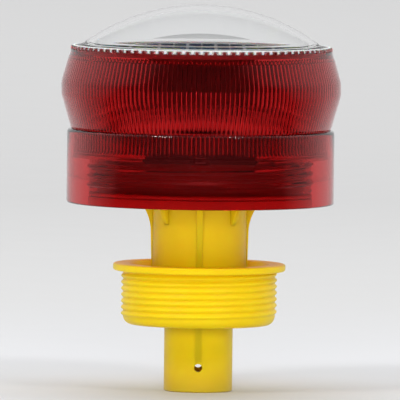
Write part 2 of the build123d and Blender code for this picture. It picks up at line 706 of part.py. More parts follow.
def make_led_leads():
    leads = []
    bend_r = LED_SEAT_R - 2.6
    for i in range(LED_COUNT):
        for side in (-1, 1):
            y = side * LED_LEAD_PITCH / 2
            corners = [(LED_SEAT_R, y, LED_Z), (bend_r, y, LED_Z), (bend_r, y, LED_BOARD_Z)]
            path = FilletPolyline(*corners, radius=LED_BEND_R)
            section = Plane(origin=path @ 0, z_dir=path % 0) * Circle(LED_LEAD_R)
            leads.append(sweep(section, path=path).rotate(Axis.Z, 360 / LED_COUNT * (i + 0.5)))
    return leads


def make_photo_sensor():
    return disc(SENSOR_R, LED_BOARD_Z - SENSOR_H, LED_BOARD_Z, 0, SENSOR_Y)


def make_contact_pads():
    z0 = LED_BOARD_Z - PAD_FOIL_T
    centre = disc(SPRING_R + 1.0, z0, LED_BOARD_Z)
    ring = tube(SPRING_OFFSET + SPRING_R - 0.4, SPRING_OFFSET - SPRING_R + 0.4, z0, LED_BOARD_Z)
    return [centre, ring]


def write(node, shape):
    """Save one node, whether it is one solid or several alike."""
    if isinstance(shape, list):
        solids = [solid for piece in shape for solid in piece.solids()]
        shape = Compound(children=solids)
    shape.label = node
    export_step(shape, f"parts/{node}.step")


write("stem", make_stem())
write("retaining_ring", make_retaining_ring())
write("threaded_collar", make_collar())
write("base_plug", make_base_plug())
write("stem_screws", make_stem_screws())
write("base_seal", make_base_seal())
write("battery_holder", make_battery_holder())
write("battery_cells", make_battery_cells())
write("battery_contacts", make_battery_contacts())
write("battery_cover", make_battery_cover())
write("holder_screws", make_holder_screws())
write("contact_springs", make_contact_springs())
write("mode_button", make_mode_button())
write("switch_plunger", make_switch_plunger())
write("switch_body", make_switch_body())
write("switch_wires", make_switch_wires())
write("lower_ring", make_lower_ring())
write("upper_lens", make_upper_lens())
write("clear_dome", make_clear_dome())
write("dome_gasket", make_dome_gasket())
write("panel_bezel", make_panel_bezel())
write("solar_substrate", make_solar_substrate())
write("solar_cells", make_solar_cells())
write("cell_busbars", make_cell_busbars())
write("foam_pad", make_foam_pad())
write("driver_box", make_driver_box())
write("driver_box_lid", make_box_lid())
write("lid_screws", make_lid_screws())
write("circuit_board", make_circuit_board())
write("board_screws", make_board_screws())
write("controller_chip", make_controller_chip())
write("capacitors", make_capacitors())
write("inductor", make_inductor())
write("panel_wire_red", make_panel_wire(PANEL_WIRE_YS[0]))
write("panel_wire_black", make_panel_wire(PANEL_WIRE_YS[1]))
write("led_board", make_led_board())
write("led_bodies", make_led_bodies())
write("led_leads", make_led_leads())
write("photo_sensor", make_photo_sensor())
write("contact_pads", make_contact_pads())
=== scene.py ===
import json
import math

import bmesh
import bpy
from mathutils import Matrix, Vector


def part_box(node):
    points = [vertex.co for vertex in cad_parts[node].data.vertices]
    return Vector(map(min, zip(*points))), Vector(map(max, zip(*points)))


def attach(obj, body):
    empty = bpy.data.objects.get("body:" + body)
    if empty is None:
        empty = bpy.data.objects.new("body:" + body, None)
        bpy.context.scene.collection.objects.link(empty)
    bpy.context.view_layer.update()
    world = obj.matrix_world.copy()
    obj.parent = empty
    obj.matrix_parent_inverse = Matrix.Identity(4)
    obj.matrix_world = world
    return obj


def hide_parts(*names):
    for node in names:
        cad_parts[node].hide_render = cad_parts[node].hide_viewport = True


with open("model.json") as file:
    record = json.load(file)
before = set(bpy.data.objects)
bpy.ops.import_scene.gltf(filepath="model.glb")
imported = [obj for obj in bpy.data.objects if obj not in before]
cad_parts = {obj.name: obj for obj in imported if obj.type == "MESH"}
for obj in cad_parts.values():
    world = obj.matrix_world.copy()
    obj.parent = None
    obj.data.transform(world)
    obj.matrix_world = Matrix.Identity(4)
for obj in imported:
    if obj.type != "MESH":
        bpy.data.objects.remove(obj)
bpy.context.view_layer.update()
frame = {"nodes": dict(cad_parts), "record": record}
MM = 0.001


# ---- places and sizes, read from the frame ----
def low(node, axis):
    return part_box(node)[0][axis]


def high(node, axis):
    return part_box(node)[1][axis]


RING_R = high("lower_ring", 1)
RING_Z = low("lower_ring", 2)
RING_TOP = high("lower_ring", 2)
LENS_R = high("upper_lens", 1)
RIM_Z = high("upper_lens", 2)
SKIRT_Z = low("upper_lens", 2)
DOME_TOP = high("clear_dome", 2)
DOME_FLANGE_R = high("clear_dome", 1)
PLUG_Z = low("base_plug", 2)
COLLAR_Z = low("threaded_collar", 2)
COLLAR_TOP = high("threaded_collar", 2)
COLLAR_R = high("threaded_collar", 1)
STEM_FLANGE_R = high("stem", 1)
STEM_TOP = high("stem", 2)

# ---- sizes that the nodes' boxes do not give ----
WALL = 2.0 * MM                      # wall of the red shells and the dome
RING_IN = RING_R - WALL
DRUM_R = RING_IN - 6.3 * MM          # crests of the head's thread
DRUM_BORE = DRUM_R - 2.3 * MM
WEB_Z = RING_Z + 17.9 * MM
WEB_T = 1.2 * MM
DRUM_Z = high("base_seal", 2) + 0.1 * MM
HEAD_PITCH = 3.27 * MM
HEAD_THREAD_DEPTH = 0.9 * MM
RING_STEPS = 240
COLLAR_PITCH = 2.44 * MM
COLLAR_THREAD_R = COLLAR_R - 3.2 * MM
COLLAR_THREAD_DEPTH = 0.85 * MM
COLLAR_FLANGE_T = 2.7 * MM
COLLAR_FLANGE_EDGE = 0.8 * MM
COLLAR_WALL = 2.4 * MM
COLLAR_FLOOR = 3.0 * MM
COLLAR_EDGE_R = 3.2 * MM
COLLAR_STEPS = 256
CLIP_POCKET_R = 16.0 * MM            # pocket for the retaining ring under the collar
CLIP_POCKET_T = 1.5 * MM
RUNNING_GAP = 0.06 * MM              # between the stem and the collar
STEM_R = 13.25 * MM
STEM_BORE = 10.65 * MM
UPPER_R = 18.2 * MM
UPPER_BORE = 15.4 * MM
SHOULDER_Z = COLLAR_Z + 3.05 * MM
SHOULDER_T = 2.6 * MM
STEM_STEPS = 160
RIB_W = 2.5 * MM
RIB_LONG = 25.0 * MM
RIB_SHORT = 8.4 * MM
RIB_ROUND = 0.25 * MM
STRIP_W = 2.3 * MM                   # raised strip down the lower stem
STRIP_T = 0.8 * MM
STRIP_SUNK = 0.16 * MM
PIN_HOLE_Z = 9.6 * MM
PIN_HOLE_R = 1.55 * MM
DOME_BASE_R = 45.0 * MM
DOME_FLANGE_T = 1.2 * MM
DOME_FOOT = 0.56 * MM
DOME_STEPS = 192


# ---- mesh helpers ----
def arc(r, z, radius, start_deg, end_deg, count):
    """Points along an arc whose centre is (r, z), both ends included."""
    step = (end_deg - start_deg) / count
    angles = [math.radians(start_deg + step * i) for i in range(count + 1)]
    return [(r + radius * math.cos(a), z + radius * math.sin(a)) for a in angles]


def between(a, b, count):
    """Evenly spaced points from a up to, but not including, b."""
    return [(a[0] + (b[0] - a[0]) * i / count, a[1] + (b[1] - a[1]) * i / count) for i in range(count)]


def spun(outline, steps):
    """Turn a closed outline of (radius, height) points round Z."""
    bm = bmesh.new()
    verts = [bm.verts.new((r, 0, z)) for r, z in outline]
    edges = [bm.edges.new(pair) for pair in zip(verts, verts[1:])]
    edges.append(bm.edges.new((verts[-1], verts[0])))
    bmesh.ops.spin(
        bm, geom=verts + edges, cent=(0, 0, 0), axis=(0, 0, 1), angle=math.tau, steps=steps, use_merge=True
    )
    bmesh.ops.remove_doubles(bm, verts=bm.verts, dist=0.002 * MM)
    return bm


def piece(name, bm, body, material, replaced=(), smooth_deg=35.0):
    """Finish a mesh: outward faces, shading, material, body, and the CAD nodes it stands for."""
    bmesh.ops.recalc_face_normals(bm, faces=bm.faces)
    mesh = bpy.data.meshes.new(name)
    bm.to_mesh(mesh)
    bm.free()
    mesh.polygons.foreach_set("use_smooth", [True] * len(mesh.polygons))
    mesh.set_sharp_from_angle(angle=math.radians(smooth_deg))
    mesh.materials.append(material)
    made = bpy.data.objects.new(name, mesh)
    bpy.context.scene.collection.objects.link(made)
    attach(made, body)
    if replaced:
        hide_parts(*replaced)
    return made


def radial_scale(bm, verts, radius_of):
    """Move each vertex along its own radius by radius_of(angle, radius, height)."""
    for v in verts:
        r = math.hypot(v.co.x, v.co.y)
        if r < 1e-6:
            continue
        k = radius_of(math.atan2(v.co.y, v.co.x), r, v.co.z) / r
        v.co.x *= k
        v.co.y *= k


def smoothstep(x):
    x = min(1.0, max(0.0, x))
    return x * x * (3 - 2 * x)


# ---- materials ----
class Nodes:
    """Short calls for building a material's node tree."""

    def __init__(self, name):
        self.material = bpy.data.materials.new(name)
        self.material.use_nodes = True
        self.tree = self.material.node_tree
        self.shader = self.tree.nodes["Principled BSDF"]
        self.output = self.tree.nodes["Material Output"]
        self.coords = self.tree.nodes.new("ShaderNodeTexCoord")

    def add(self, kind, **values):
        node = self.tree.nodes.new("ShaderNode" + kind)
        for key, value in values.items():
            if key.startswith("set_"):
                setattr(node, key[4:], value)
            else:
                node.inputs[key.replace("_", " ")].default_value = value
        return node

    def link(self, out, target):
        self.tree.links.new(out, target)
        return out

    def place(self, scale=(1, 1, 1)):
        """Object coordinates, stretched by scale."""
        mapping = self.add("Mapping", Scale=scale)
        self.link(self.coords.outputs["Object"], mapping.inputs["Vector"])
        return mapping.outputs["Vector"]

    def noise(self, scale, detail):
        node = self.add("TexNoise", Scale=scale, Detail=detail)
        self.link(self.place(), node.inputs["Vector"])
        return node.outputs["Fac"]

    def ramp(self, fac, stops):
        """Colour that runs through (position, colour) stops."""
        node = self.add("ValToRGB")
        ramp = node.color_ramp
        while len(ramp.elements) < len(stops):
            ramp.elements.new(0.5)
        for element, (place, colour) in zip(ramp.elements, stops):
            element.position = place
            element.color = (*colour, 1.0)
        self.link(fac, node.inputs["Fac"])
        return node.outputs["Color"]

    def between(self, fac, lowest, highest):
        """A 0 to 1 pattern spread from lowest to highest."""
        node = self.add("MapRange", To_Min=lowest, To_Max=highest)
        self.link(fac, node.inputs["Value"])
        return node.outputs["Result"]

    def bump(self, height, strength, distance):
        node = self.add("Bump", Strength=strength, Distance=distance)
        self.link(height, node.inputs["Height"])
        self.link(node.outputs["Normal"], self.shader.inputs["Normal"])

    def set(self, **values):
        for key, value in values.items():
            self.shader.inputs[key.replace("_", " ")].default_value = value


def yellow_plastic():
    """Yellow moulding that lets a little light in, with painted shade making it darker and browner near the
    foot.
    """
    n = Nodes("yellow_plastic")
    n.set(Specular_IOR_Level=0.25, IOR=1.48, Subsurface_Weight=0.45, Subsurface_Scale=0.006)
    n.set(Subsurface_Radius=(1.0, 0.6, 0.05))
    tone = n.noise(60.0, 4.0)
    colour = n.ramp(tone, [(0.3, (0.93, 0.62, 0.004)), (0.7, (0.96, 0.67, 0.006))])
    # Painted shade: the yellow is mixed towards brown within 14 mm of the floor, standing in for the shade
    # at the stem's foot.
    split = n.add("SeparateXYZ")
    n.link(n.coords.outputs["Object"], split.inputs["Vector"])
    foot = n.add("MapRange", From_Min=0.0, From_Max=0.014, To_Min=0.75, To_Max=0.0)
    n.link(split.outputs["Z"], foot.inputs["Value"])
    painted_foot_shade = n.add("Mix", set_data_type="RGBA")
    n.link(foot.outputs["Result"], painted_foot_shade.inputs["Factor"])
    n.link(colour, painted_foot_shade.inputs[6])
    painted_foot_shade.inputs[7].default_value = (0.50, 0.33, 0.03, 1.0)
    n.link(painted_foot_shade.outputs[2], n.shader.inputs["Base Color"])
    n.link(n.between(n.noise(220.0, 2.0), 0.34, 0.46), n.shader.inputs["Roughness"])
    n.bump(n.noise(1500.0, 2.0), 0.06, 0.0002)
    return n.material


def red_plastic(name, density, roughness=0.03):
    """Clear red moulding: colourless surfaces, and colour that grows with the thickness passed through."""
    n = Nodes(name)
    n.set(Base_Color=(1, 1, 1, 1), Transmission_Weight=1.0, IOR=1.49, Roughness=roughness)
    n.bump(n.noise(90.0, 2.0), 0.02, 0.0006)
    absorb = n.add("VolumeAbsorption", Color=(0.892, 0.09, 0.112, 1.0), Density=density)
    n.link(absorb.outputs["Volume"], n.output.inputs["Volume"])
    return n.material


def clear_plastic():
    """Clear moulding with a faint ripple, bending light less than most so that it hardly shows."""
    n = Nodes("clear_plastic")
    n.set(Base_Color=(0.985, 0.99, 0.99, 1), Transmission_Weight=1.0, IOR=1.10, Roughness=0.01)
    n.bump(n.noise(40.0, 1.0), 0.02, 0.0008)
    return n.material


def moulded(name, dark, light, rough=(0.35, 0.5), grain=900.0, bump=0.08, metallic=0.0, scale=80.0):
    """Opaque stock material with a little variation in tone, gloss and surface."""
    n = Nodes(name)
    n.set(Metallic=metallic)
    n.link(n.ramp(n.noise(scale, 4.0), [(0.3, dark), (0.7, light)]), n.shader.inputs["Base Color"])
    n.link(n.between(n.noise(scale * 3, 2.0), *rough), n.shader.inputs["Roughness"])
    n.bump(n.noise(grain, 2.0), bump, 0.0002)
    return n.material


def solar_silicon():
    """Polycrystalline silicon with no specular: angular grains in dark blue tones, painted glints in teal,
    violet, yellow-green and pale grey standing in for its reflections, and fine printed fingers.
    """
    n = Nodes("solar_silicon")
    n.set(Specular_IOR_Level=0.0, Roughness=0.5)
    grains = n.add("TexVoronoi", Scale=300.0, set_feature="F1")
    n.link(n.place((1.0, 0.6, 0.2)), grains.inputs["Vector"])
    patches = n.add("TexVoronoi", Scale=125.0, set_feature="F1")
    n.link(n.place((1.0, 0.45, 0.2)), patches.inputs["Vector"])
    split, broad = n.add("SeparateColor"), n.add("SeparateColor")
    n.link(grains.outputs["Color"], split.inputs["Color"])
    n.link(patches.outputs["Color"], broad.inputs["Color"])
    # Painted glints: the pale grey top of this ramp and the teal, violet and yellow-green stops of the next
    # stand in for reflections off the grains.
    fine = n.ramp(split.outputs["Red"], [
        (0.0, (0.004, 0.005, 0.012)), (0.3, (0.006, 0.012, 0.035)), (0.55, (0.004, 0.018, 0.024)),
        (0.75, (0.008, 0.012, 0.045)), (0.9, (0.03, 0.05, 0.055)), (1.0, (0.22, 0.26, 0.28)),
    ])
    patch_glints = n.ramp(broad.outputs["Green"], [
        (0.0, (0.008, 0.008, 0.03)), (0.28, (0.010, 0.035, 0.06)), (0.45, (0.004, 0.007, 0.018)),
        (0.60, (0.035, 0.035, 0.16)), (0.74, (0.004, 0.13, 0.14)), (0.92, (0.22, 0.26, 0.04)),
    ])
    mixed = n.add("Mix", set_data_type="RGBA")
    mixed.inputs["Factor"].default_value = 0.7
    n.link(fine, mixed.inputs[6])
    n.link(patch_glints, mixed.inputs[7])
    fingers = n.add("TexWave", Scale=185.0, set_bands_direction="Y")
    n.link(n.place(), fingers.inputs["Vector"])
    line = n.ramp(fingers.outputs["Fac"], [(0.985, (0, 0, 0)), (0.995, (1, 1, 1))])
    printed = n.add("Mix", set_data_type="RGBA")
    n.link(line, printed.inputs["Factor"])
    n.link(mixed.outputs[2], printed.inputs[6])
    printed.inputs[7].default_value = (0.16, 0.17, 0.18, 1.0)
    n.link(printed.outputs[2], n.shader.inputs["Base Color"])
    return n.material


def frosted_edge():
    """Clear plastic left matt from the mould, which catches light and looks white."""
    n = Nodes("frosted_edge")
    n.set(Transmission_Weight=0.15, IOR=1.49, Subsurface_Weight=0.3, Subsurface_Scale=0.002)
    tone = n.ramp(n.noise(400.0, 2.0), [(0.3, (0.93, 0.90, 0.88)), (0.7, (0.97, 0.96, 0.95))])
    n.link(tone, n.shader.inputs["Base Color"])
    n.link(n.between(n.noise(700.0, 2.0), 0.35, 0.6), n.shader.inputs["Roughness"])
    n.bump(n.noise(2500.0, 2.0), 0.15, 0.0002)
    return n.material


def lamp_epoxy():
    """Tinted clear resin of the lamps."""
    n = Nodes("lamp_epoxy")
    n.set(Base_Color=(1.0, 0.75, 0.72, 1), Transmission_Weight=0.8, IOR=1.5, Roughness=0.05)
    n.bump(n.noise(300.0, 1.0), 0.02, 0.0002)
    return n.material


# Darkest and lightest tone of each opaque material, and how it differs from a satin moulding.
STOCK = {
    "red_plastic": ((0.80, 0.020, 0.020), (0.86, 0.028, 0.026), dict(rough=(0.3, 0.45))),
    "white_plastic": ((0.74, 0.74, 0.72), (0.82, 0.82, 0.80), dict()),
    # Painted light: a lighter, reddish grey for the driver box, standing in for light carried onto it
    # through the lens's flutes.
    "box_grey_painted_light": ((0.26, 0.20, 0.20), (0.32, 0.25, 0.25), dict(rough=(0.5, 0.65))),
    "black_plastic": ((0.010, 0.010, 0.011), (0.022, 0.022, 0.024), dict(rough=(0.45, 0.6))),
    "seal_rubber": ((0.012, 0.012, 0.012), (0.03, 0.03, 0.03), dict(rough=(0.6, 0.8))),
    "clear_silicone": ((0.76, 0.77, 0.76), (0.84, 0.85, 0.84), dict()),
    "zinc_steel": ((0.52, 0.51, 0.48), (0.66, 0.66, 0.64), dict(rough=(0.25, 0.4), metallic=1.0)),
    "silver_print": ((0.10, 0.10, 0.11), (0.16, 0.16, 0.17), dict(rough=(0.4, 0.6))),
    "board_dark": ((0.006, 0.008, 0.016), (0.012, 0.014, 0.026), dict(rough=(0.5, 0.6))),
    "red_silicone": ((0.80, 0.014, 0.014), (0.86, 0.020, 0.018), dict(rough=(0.5, 0.7))),
    "board_green": ((0.01, 0.07, 0.03), (0.02, 0.11, 0.045), dict(rough=(0.25, 0.4))),
    "board_white": ((0.68, 0.68, 0.66), (0.78, 0.78, 0.76), dict()),
    "cell_sleeve": ((0.02, 0.14, 0.06), (0.03, 0.2, 0.09), dict(rough=(0.2, 0.35))),
    "gold_contact": ((0.75, 0.52, 0.18), (0.85, 0.62, 0.25), dict(rough=(0.2, 0.3), metallic=1.0)),
    "wire_red": ((0.35, 0.015, 0.015), (0.45, 0.025, 0.02), dict()),
    "wire_black": ((0.015, 0.015, 0.015), (0.03, 0.03, 0.03), dict()),
    "chip_black": ((0.012, 0.012, 0.012), (0.025, 0.025, 0.025), dict(rough=(0.5, 0.7))),
    "capacitor_can": ((0.02, 0.03, 0.12), (0.04, 0.05, 0.18), dict(rough=(0.25, 0.35))),
    "foam": ((0.55, 0.55, 0.52), (0.68, 0.68, 0.65), dict(rough=(0.8, 0.95), grain=500.0, bump=0.5)),
}
MATERIALS = {
    "yellow_plastic": yellow_plastic(),
    "red_lens": red_plastic("red_lens", 900.0),
    "red_ring": red_plastic("red_ring", 780.0),
    "red_web": red_plastic("red_web", 90.0, 0.08),
    "clear_dome": clear_plastic(),
    "frosted_edge": frosted_edge(),
    "solar_silicon": solar_silicon(),
    "light_epoxy": lamp_epoxy(),
}
for name, (dark, light, options) in STOCK.items():
    MATERIALS[name] = moulded(name, dark, light, **options)

slot_of = {s["node"]: s["material_slot"] for s in frame["record"]["subparts"]}
# Painted light: the driver box and lid take a lighter grey than their black_plastic slot, standing in for
# light carried in through the lens's flutes.
slot_of.update(driver_box="box_grey_painted_light", driver_box_lid="box_grey_painted_light")    # shows dark red through the lens
for node, made in frame["nodes"].items():
    for s in made.material_slots:
        s.material = MATERIALS[slot_of[node]]


# ---- red shells ----
TEETH = 90
FLUTES = 2 * TEETH
STEPS_PER_FLUTE = 6
SHELL_STEPS = FLUTES * STEPS_PER_FLUTE
FLUTE_DEPTH = 0.5 * MM
FLUTE_TOP = RIM_Z - 3.3 * MM
FLUTE_FOOT = SKIRT_Z + 0.3 * MM
LENS_SKIN = 1.9 * MM
NOTCH_Z = RIM_Z - 1.1 * MM
RIM_R = RING_R - 1.1 * MM
EDGE_T = 0.5 * MM                    # how far the dome's edge stands over the rim
TOOTH_H = 0.95 * MM
RED_GAP = 0.20                       # share of a tooth's pitch, from either end
PALE_GAP = 0.30
LENS_WAIST_R = RING_R - 1.35 * MM
BULGE_Z = RING_TOP + 16.2 * MM
SHELL_GAP = 0.3 * MM                 # between the ring and the lens's skirt


def flute_depth(angle, height):
    """How far a flute stands in from the lens's inner wall."""
    phase = (angle * FLUTES / math.tau) % 1.0
    across = max(0.0, 1.0 - (abs(phase - 0.5) / 0.5) ** 2) ** 0.6
    tip = FLUTE_TOP - 1.0 * MM * (1 - across)
    rise = smoothstep((tip - height) / (0.8 * MM)) * smoothstep((height - FLUTE_FOOT) / (1.0 * MM))
    return FLUTE_DEPTH * across * rise


def lens_wall():
    """The lens's outer wall from its waist to its rim."""
    seat = RING_TOP + 0.05 * MM
    steps = [(-0.55, -4.6), (-0.14, -3.1), (0.0, -2.0), (0.0, 1.3), (-0.10, 2.3), (-0.46, 3.7)]
    wall = [(LENS_WAIST_R - 0.3 * MM, seat), (LENS_WAIST_R, seat + 0.4 * MM)]
    wall += [(LENS_R + dr * MM, BULGE_Z + dz * MM) for dr, dz in steps]
    wall += [(RIM_R + 1.15 * MM, RIM_Z - 5.2 * MM), (RIM_R + 0.15 * MM, RIM_Z - 2.6 * MM), (RIM_R, NOTCH_Z)]
    return wall


def make_fluted_lens():
    """Red lens: smooth outside, flutes down the inside, and square teeth round the rim."""
    skirt_r = RING_IN - SHELL_GAP
    wall = lens_wall()
    outside = [(skirt_r, SKIRT_Z), (skirt_r, wall[0][1])] + wall
    inner_rim = RIM_R - LENS_SKIN
    inside = [(inner_rim, NOTCH_Z), (inner_rim, FLUTE_TOP + 0.4 * MM)]
    inside += between((inner_rim, FLUTE_TOP + 0.2 * MM), (inner_rim + 0.15 * MM, FLUTE_TOP - 2.0 * MM), 8)
    inside += [(r - LENS_SKIN, z) for r, z in reversed(wall[2:-1])][1:]
    inside += [(wall[1][0] - LENS_SKIN, wall[1][1] + 0.6 * MM), (skirt_r - LENS_SKIN, wall[0][1] - 0.8 * MM)]
    foot_r = skirt_r - LENS_SKIN
    inside += between((foot_r, FLUTE_FOOT + 1.4 * MM), (foot_r, FLUTE_FOOT), 5)
    inside += [(foot_r, FLUTE_FOOT), (foot_r, SKIRT_Z)]
    bm = spun(outside + inside, SHELL_STEPS)

    inner = [v for v in bm.verts if on_inner_wall(v, outside)]
    radial_scale(bm, inner, lambda a, r, z: r - flute_depth(a, z))
    top = [f for f in bm.faces if all(abs(v.co.z - NOTCH_Z) < 0.01 * MM for v in f.verts)]
    teeth = [f for f in top if not in_notch(f.calc_center_median(), RED_GAP)]
    raised = bmesh.ops.extrude_face_region(bm, geom=teeth)["geom"]
    verts = [g for g in raised if isinstance(g, bmesh.types.BMVert)]
    bmesh.ops.translate(bm, verts=verts, vec=(0, 0, RIM_Z - NOTCH_Z))
    bmesh.ops.delete(bm, geom=teeth, context="FACES")
    return piece("fluted_lens", bm, "head", MATERIALS["red_lens"], ("upper_lens",), 40)


def on_inner_wall(v, outside):
    """True for a vertex that is inside the outer wall's outline at its height."""
    r = math.hypot(v.co.x, v.co.y)
    z = v.co.z
    if not FLUTE_FOOT - 1.5 * MM < z < FLUTE_TOP + 1.0 * MM:
        return False
    wall = [
        a[0] + (b[0] - a[0]) * (z - a[1]) / (b[1] - a[1])
        for a, b in zip(outside, outside[1:]) if a[1] <= z < b[1]
    ]
    return bool(wall) and r < max(wall) - 1.0 * MM


def in_notch(centre, edge):
    """True between two red teeth of the rim, with edge the share of a pitch left at either end."""
    phase = (math.atan2(centre.y, centre.x) * TEETH / math.tau) % 1.0
    return edge < phase < 1.0 - edge


def make_dome_teeth():
    """Frosted outer edge of the dome's flange, with a tooth for every notch in the rim."""
    top = RIM_Z + EDGE_T
    under = RIM_Z + 0.05 * MM
    inner = RIM_R - 1.7 * MM
    outline = [(inner, under), (RIM_R - 0.35 * MM, under), (DOME_FLANGE_R - 0.15 * MM, under)]
    outline += arc(DOME_FLANGE_R - 0.2 * MM, top - 0.2 * MM, 0.2 * MM, 0, 90, 3)
    outline += [(inner, top)]
    bm = spun(outline, SHELL_STEPS)
    band = [f for f in bm.faces if all(abs(v.co.z - under) < 0.01 * MM for v in f.verts)]
    band = [f for f in band if f.calc_center_median().xy.length < RIM_R - 0.35 * MM]
    teeth = [f for f in band if in_notch(f.calc_center_median(), PALE_GAP)]
    raised = bmesh.ops.extrude_face_region(bm, geom=teeth)["geom"]
    verts = [g for g in raised if isinstance(g, bmesh.types.BMVert)]
    bmesh.ops.translate(bm, verts=verts, vec=(0, 0, -TOOTH_H))
    bmesh.ops.delete(bm, geom=teeth, context="FACES")
    return piece("dome_edge", bm, "head", MATERIALS["frosted_edge"], (), 40)


def make_red_ring():
    """Outer wall, thin web and threaded drum of the one moulding."""
    outside = [(RING_IN, RING_Z), (RING_R - 0.9 * MM, RING_Z)]
    outside += arc(RING_R - 0.8 * MM, RING_Z + 0.8 * MM, 0.8 * MM, -70, 0, 4)
    outside += arc(RING_R - 1.2 * MM, RING_TOP - 1.2 * MM, 1.2 * MM, 0, 90, 6)
    wall = spun(outside + [(RING_IN, RING_TOP)], RING_STEPS)
    piece("ring_wall", wall, "head", MATERIALS["red_ring"], ("lower_ring",), 40)
    under, over, web_r = WEB_Z + 0.03 * MM, WEB_Z + WEB_T, RING_IN - 0.03 * MM
    web = spun([(DRUM_BORE, under), (web_r, under), (web_r, over), (DRUM_BORE, over)], RING_STEPS)
    piece("ring_web", web, "head", MATERIALS["red_web"], ("lower_ring",), 40)
    drum = [(DRUM_BORE, WEB_Z), (DRUM_BORE, DRUM_Z)]
    drum += between((DRUM_R - 0.5 * MM, DRUM_Z), (DRUM_R - 0.5 * MM, WEB_Z - 0.4 * MM), 40)
    drum += [(DRUM_R - 0.5 * MM, WEB_Z - 0.4 * MM), (DRUM_R, WEB_Z)]
    bm = spun(drum, RING_STEPS)
    first, last = DRUM_Z + 0.6 * MM, WEB_Z - 1.0 * MM

    def ridge(angle, r, z):
        if not DRUM_R - 0.6 * MM < r < DRUM_R - 0.4 * MM:
            return r
        turn = (z - first) / HEAD_PITCH - angle / math.tau
        crest = max(0.0, math.cos(math.tau * turn)) ** 0.7
        fade = smoothstep((z - first) / MM) * smoothstep((last - z) / MM)
        return r + HEAD_THREAD_DEPTH * crest * fade

    radial_scale(bm, bm.verts, ridge)
    return piece("ring_drum", bm, "head", MATERIALS["red_ring"], ("lower_ring",), 40)


def make_dome():
    """Clear dome: a hollow spherical cap on a flange that slopes down to the rim."""
    base_r = DOME_BASE_R
    top = RIM_Z + DOME_FLANGE_T
    rise = DOME_TOP - (top + DOME_FOOT)
    radius = (base_r ** 2 + rise ** 2) / (2 * rise)
    centre = DOME_TOP - radius
    edge = math.degrees(math.acos(base_r / radius))
    outer = arc(0, centre, radius, edge, 90, 48)
    inner_r = radius - WALL
    inner_edge = math.degrees(math.acos((base_r - WALL) / inner_r))
    inner = arc(0, centre, inner_r, 90, inner_edge, 44)
    flange_r = RIM_R - 1.75 * MM
    flange = [(base_r - WALL, RIM_Z), (flange_r, RIM_Z), (flange_r, RIM_Z + EDGE_T)]
    flange += [(base_r + 0.5 * MM, top)]
    outer[-1] = (0, outer[-1][1])
    inner[0] = (0, inner[0][1])
    outline = flange + outer + inner
    bm = bmesh.new()
    verts = [bm.verts.new((r, 0, z)) for r, z in outline]
    split = len(flange) + len(outer)
    edges = [bm.edges.new((a, b)) for i, (a, b) in enumerate(zip(verts, verts[1:])) if i != split - 1]
    edges.append(bm.edges.new((verts[-1], verts[0])))
    bmesh.ops.spin(
        bm, geom=verts + edges, cent=(0, 0, 0), axis=(0, 0, 1), angle=math.tau, steps=DOME_STEPS,
        use_merge=True,
    )
    bmesh.ops.remove_doubles(bm, verts=bm.verts, dist=0.004 * MM)
    return piece("clear_cover", bm, "head", MATERIALS["clear_dome"], ("clear_dome",), 40)


# ---- yellow parts ----
def make_threaded_collar():
    """Yellow cup with an outside thread, a flange and an open recess round the stem."""
    root = COLLAR_THREAD_R - COLLAR_THREAD_DEPTH
    bore = STEM_R + RUNNING_GAP
    flange_z = COLLAR_TOP - COLLAR_FLANGE_T
    inner = root - COLLAR_WALL
    floor_z = COLLAR_Z + COLLAR_FLOOR
    edge_r = COLLAR_EDGE_R
    outline = [(CLIP_POCKET_R, COLLAR_Z + 0.15 * MM), (CLIP_POCKET_R + 0.1 * MM, COLLAR_Z)]
    outline += arc(root - edge_r, COLLAR_Z + edge_r, edge_r, -90, 0, 8)
    thread_z = COLLAR_Z + edge_r
    outline += between((root, thread_z + 0.3 * MM), (root, flange_z - 0.2 * MM), 66)
    outline += [(root, flange_z - 0.2 * MM), (root + 0.3 * MM, flange_z)]
    edge = COLLAR_FLANGE_EDGE
    outline += arc(COLLAR_R - edge, flange_z + edge, edge, -85, 0, 5)
    outline += arc(COLLAR_R - edge, COLLAR_TOP - edge, edge, 0, 85, 5)
    outline += [(COLLAR_R - 1.2 * MM, COLLAR_TOP), (inner + 0.5 * MM, COLLAR_TOP)]
    outline += [(inner, COLLAR_TOP - 0.5 * MM)]
    outline += [(inner, floor_z + 1.0 * MM), (inner - 1.0 * MM, floor_z), (bore, floor_z)]
    outline += [(bore, COLLAR_Z + CLIP_POCKET_T), (CLIP_POCKET_R, COLLAR_Z + CLIP_POCKET_T)]
    bm = spun(outline, COLLAR_STEPS)
    first, last = thread_z - 0.4 * MM, flange_z - 0.1 * MM

    def ridge(angle, r, z):
        if abs(r - root) > 0.02 * MM:
            return r
        turn = (z - first) / COLLAR_PITCH - angle / math.tau
        crest = (0.5 + 0.5 * math.cos(math.tau * turn)) ** 0.8
        fade = smoothstep((z - first) / (1.2 * MM)) * smoothstep((last - z) / (0.8 * MM))
        return r + COLLAR_THREAD_DEPTH * crest * fade

    radial_scale(bm, bm.verts, ridge)
    yellow = MATERIALS["yellow_plastic"]
    return piece("collar_cup", bm, "collar", yellow, ("threaded_collar",), 50)


